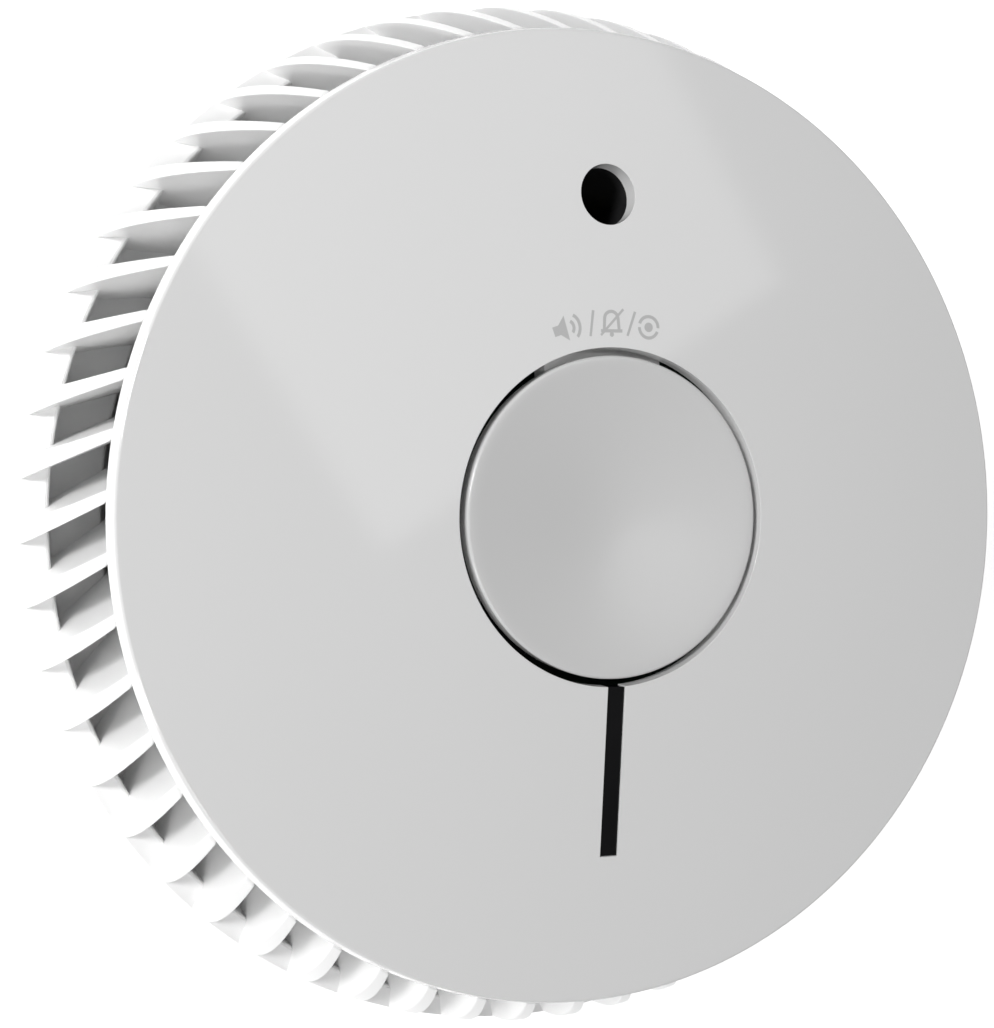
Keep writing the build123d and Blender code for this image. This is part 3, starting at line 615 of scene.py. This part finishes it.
def add_noise(material, scale, detail):
    """Add noise that is laid out in the piece's own space."""
    place = material.node_tree.nodes.new("ShaderNodeTexCoord")
    noise = add_node(material, "ShaderNodeTexNoise", Scale=scale, Detail=detail)
    material.node_tree.links.new(place.outputs["Object"], noise.inputs["Vector"])
    return noise


def vary_colour(material, shader, low, high, scale):
    """Drift the colour between two close shades."""
    links = material.node_tree.links
    noise = add_noise(material, scale, detail=3.0)
    ramp = material.node_tree.nodes.new("ShaderNodeValToRGB")
    for end, position, shade in zip(ramp.color_ramp.elements, (0.35, 0.65), (low, high)):
        end.position = position
        end.color = (*shade, 1.0)
    links.new(noise.outputs["Fac"], ramp.inputs["Fac"])
    links.new(ramp.outputs["Color"], shader.inputs["Base Color"])


def vary_roughness(material, shader, low, high, scale):
    """Drift the gloss between two levels."""
    links = material.node_tree.links
    noise = add_noise(material, scale, detail=4.0)
    spread = add_node(material, "ShaderNodeMapRange", To_Min=low, To_Max=high)
    links.new(noise.outputs["Fac"], spread.inputs["Value"])
    links.new(spread.outputs["Result"], shader.inputs["Roughness"])


def add_grain(material, shader, scale, strength, distance):
    """A fine bump, as the tool's surface leaves."""
    links = material.node_tree.links
    noise = add_noise(material, scale, detail=2.0)
    bump = add_node(material, "ShaderNodeBump", Strength=strength, Distance=distance)
    links.new(noise.outputs["Fac"], bump.inputs["Height"])
    links.new(bump.outputs["Normal"], shader.inputs["Normal"])


def white_plastic(name, shade, roughness):
    """Moulded plastic of one shade, which drifts by a hundredth over a few centimetres."""
    material, shader = new_finish(name, (shade,) * 3, roughness)
    vary_colour(material, shader, (shade, shade, shade * 0.998), (shade * 1.01,) * 3, scale=18.0)
    vary_roughness(material, shader, roughness * 0.9, roughness * 1.1, scale=60.0)
    add_grain(material, shader, scale=9000.0, strength=0.05, distance=0.00002)
    return material


satin_white = white_plastic("satin white plastic", 0.80, 0.06)
# The vents' white is lighter than the cover's white. This is painted light, which brightens the
# vanes and the shade between them.
vane_white_painted_lighter = white_plastic("white plastic of the vents, lightened as painted light", 0.90, 0.30)
# The button's white is darker than the cover's white. This is painted shade on the button.
button_white_painted_darker = white_plastic("satin white of the button, darkened as painted shade", 0.69, 0.14)
cover.data.materials.clear()
cover.data.materials.append(satin_white)
vent_ring.data.materials.append(vane_white_painted_lighter)
button.data.materials.append(button_white_painted_darker)
grey_ink = white_plastic("grey ink", 0.54, 0.30)
signs.data.materials.append(grey_ink)
for piece in (cover, vent_ring, button, signs):
    print(piece.name, "is", piece.data.materials[0].name)


# %% Finishes for the pieces that come from the frame
def plain_finish(name, colour, roughness, metallic=0.0, drift=0.12, scale=120.0, grain=0.08):
    """A finish with a drifting shade, drifting gloss and a fine grain."""
    material, shader = new_finish(name, colour, roughness)
    shader.inputs["Metallic"].default_value = metallic
    darker = tuple(c * (1 - drift) for c in colour)
    lighter = tuple(min(1.0, c * (1 + drift)) for c in colour)
    vary_colour(material, shader, darker, lighter, scale)
    vary_roughness(material, shader, roughness * 0.85, min(1.0, roughness * 1.15), scale * 2)
    add_grain(material, shader, scale=4000.0, strength=grain, distance=0.00003)
    return material


finishes = {
    "white_plastic": plain_finish(
        "white plastic of the shell", (0.80, 0.80, 0.79), 0.32, drift=0.01, scale=20),
    "plate_plastic": plain_finish(
        "white plastic of the plate", (0.78, 0.78, 0.77), 0.38, drift=0.015, scale=25),
    "smoked_window": plain_finish("smoked window", (0.004, 0.004, 0.0045), 0.12, drift=0.3),
    "black_plastic": plain_finish("matt black plastic", (0.02, 0.02, 0.021), 0.55),
    "board_laminate": plain_finish(
        "dark green laminate", (0.006, 0.03, 0.014), 0.45, drift=0.25, scale=400),
    "steel": plain_finish("plated steel", (0.62, 0.62, 0.60), 0.28, metallic=1.0),
    "screen_steel": plain_finish("stainless screen", (0.42, 0.42, 0.43), 0.32, metallic=1.0),
    "brass": plain_finish("rolled brass", (0.72, 0.50, 0.20), 0.25, metallic=1.0),
    "ceramic_white": plain_finish("silvered ceramic", (0.70, 0.68, 0.62), 0.4),
    "rubber_black": plain_finish("foam rubber", (0.015, 0.015, 0.015), 0.9, scale=900, grain=0.5),
    "cell_wrap": plain_finish("shrink sleeve", (0.55, 0.58, 0.62), 0.25, drift=0.03),
    "nickel": plain_finish("nickel strip", (0.60, 0.57, 0.52), 0.3, metallic=1.0),
    "emitter_resin": plain_finish("tinted resin", (0.06, 0.03, 0.10), 0.1),
    "sensor_resin": plain_finish("black filter resin", (0.008, 0.008, 0.01), 0.12),
    "chip_black": plain_finish("moulded epoxy", (0.015, 0.015, 0.016), 0.5),
    "ferrite": plain_finish("ferrite", (0.04, 0.04, 0.042), 0.45),
    "copper": plain_finish("enamelled copper", (0.60, 0.22, 0.09), 0.25, metallic=1.0),
    "capacitor_sleeve": plain_finish("dark sleeve", (0.02, 0.03, 0.06), 0.3),
    "chip_ceramic": plain_finish("fired ceramic", (0.32, 0.22, 0.12), 0.5),
    "lamp_resin": plain_finish("lamp resin", (0.75, 0.75, 0.68), 0.15),
    "clear_plastic": plain_finish("clear light guide", (0.9, 0.92, 0.93), 0.08, drift=0.01),
}
glass_shader = finishes["clear_plastic"].node_tree.nodes["Principled BSDF"]
glass_shader.inputs["Transmission Weight"].default_value = 0.9
glass_shader.inputs["IOR"].default_value = 1.49

slots = {row["node"]: row["material_slot"] for row in frame["record"]["subparts"]}
for node, piece in frame["nodes"].items():
    if slots[node] in finishes:
        piece.data.materials.clear()
        piece.data.materials.append(finishes[slots[node]])
print(len(finishes), "finishes on", len(frame["nodes"]), "frame pieces")


# %% [markdown]
# ## Floor, light and camera
#
# The alarm lies on its back on a pale light table. One large soft panel hangs over its right
# side, and shows as a faint bright patch in the satin face. Small lamps stand on the left, one
# low at the front, one low at the back and a weaker one high at the front. The low ones draw the
# crisp shadows between the vanes, and make the left of the face a little lighter than the right.

# %% Floor
FLOOR_REACH = 2500.0
FLOOR_LEVEL = -0.1        # just under the plate's back, so that the two faces aren't in one plane
FLOOR_GLOW = 0.66


def floor_piece():
    work = bmesh.new()
    outline = rectangle(-FLOOR_REACH, FLOOR_REACH, -FLOOR_REACH, FLOOR_REACH)
    work.faces.new([work.verts.new((x, y, FLOOR_LEVEL)) for x, y in outline])
    bmesh.ops.scale(work, vec=(MM, MM, MM), verts=work.verts)
    mesh = bpy.data.meshes.new("floor")
    work.to_mesh(mesh)
    work.free()
    piece = bpy.data.objects.new("floor", mesh)
    bpy.context.collection.objects.link(piece)
    return piece


floor = floor_piece()
floor_material, floor_shader = new_finish("pale floor", (0.9, 0.9, 0.9), 0.8)
floor_shader.inputs["Emission Color"].default_value = (1, 1, 1, 1)
floor_shader.inputs["Emission Strength"].default_value = FLOOR_GLOW
floor.data.materials.append(floor_material)
print("floor is", 2 * FLOOR_REACH * MM, "m across")


# %% Lights
def lamp_towards(name, azimuth, height, distance, size, power):
    """A small square lamp, placed by its direction and distance from the alarm, aimed at it."""
    light = bpy.data.lights.new(name, "AREA")
    light.size = size
    light.energy = power
    lamp = bpy.data.objects.new(name, light)
    bpy.context.collection.objects.link(lamp)
    azimuth, height = radians(azimuth), radians(height)
    towards = Vector((cos(height) * cos(azimuth), cos(height) * sin(azimuth), sin(height)))
    lamp.location = towards * distance + Vector((0, 0, 0.02))
    lamp.rotation_euler = towards.to_track_quat("Z", "Y").to_euler()


PANEL_SIZE = (0.548, 0.9)
PANEL_PLACE = (0.256, 0.484, 1.037)
PANEL_TURN = radians(34)
overhead = bpy.data.lights.new("overhead panel", "AREA")
overhead.shape = "RECTANGLE"
overhead.size, overhead.size_y = PANEL_SIZE
overhead.energy = 2.1
overhead_lamp = bpy.data.objects.new("overhead panel", overhead)
bpy.context.collection.objects.link(overhead_lamp)
overhead_lamp.location = PANEL_PLACE
overhead_lamp.rotation_euler = (0, 0, PANEL_TURN)
lamp_towards("front lamp", azimuth=212.0, height=30.0, distance=0.8, size=0.10, power=1.2)
lamp_towards("high front lamp", azimuth=248.0, height=64.0, distance=1.1, size=0.20, power=1.3)
lamp_towards("back lamp", azimuth=160.0, height=39.0, distance=0.6, size=0.14, power=2.0)
for light in bpy.data.lights:
    print(light.name, round(light.energy, 2), "W")

world = bpy.data.worlds.new("studio")
world.use_nodes = True
world.node_tree.nodes["Background"].inputs["Color"].default_value = (1, 1, 1, 1)
world.node_tree.nodes["Background"].inputs["Strength"].default_value = 0.12
bpy.context.scene.world = world
bpy.context.scene.cycles.diffuse_bounces = 8

# %% Camera
camera_data = bpy.data.cameras.new("camera")
camera_data.lens = 41.91
camera_data.sensor_width = 36.0
camera_data.dof.use_dof = False
camera_data.clip_start = 0.01
camera = bpy.data.objects.new("camera", camera_data)
camera.location = (-0.05914, 0.0004, 0.1469)
camera.rotation_euler = Euler((radians(-0.75), radians(-22.477), radians(1.547)), "XYZ")
bpy.context.collection.objects.link(camera)
bpy.context.scene.camera = camera
bpy.context.scene.view_settings.view_transform = "Standard"
print("camera is", round(camera.location.length / MM), "mm from the middle of the plate's back")
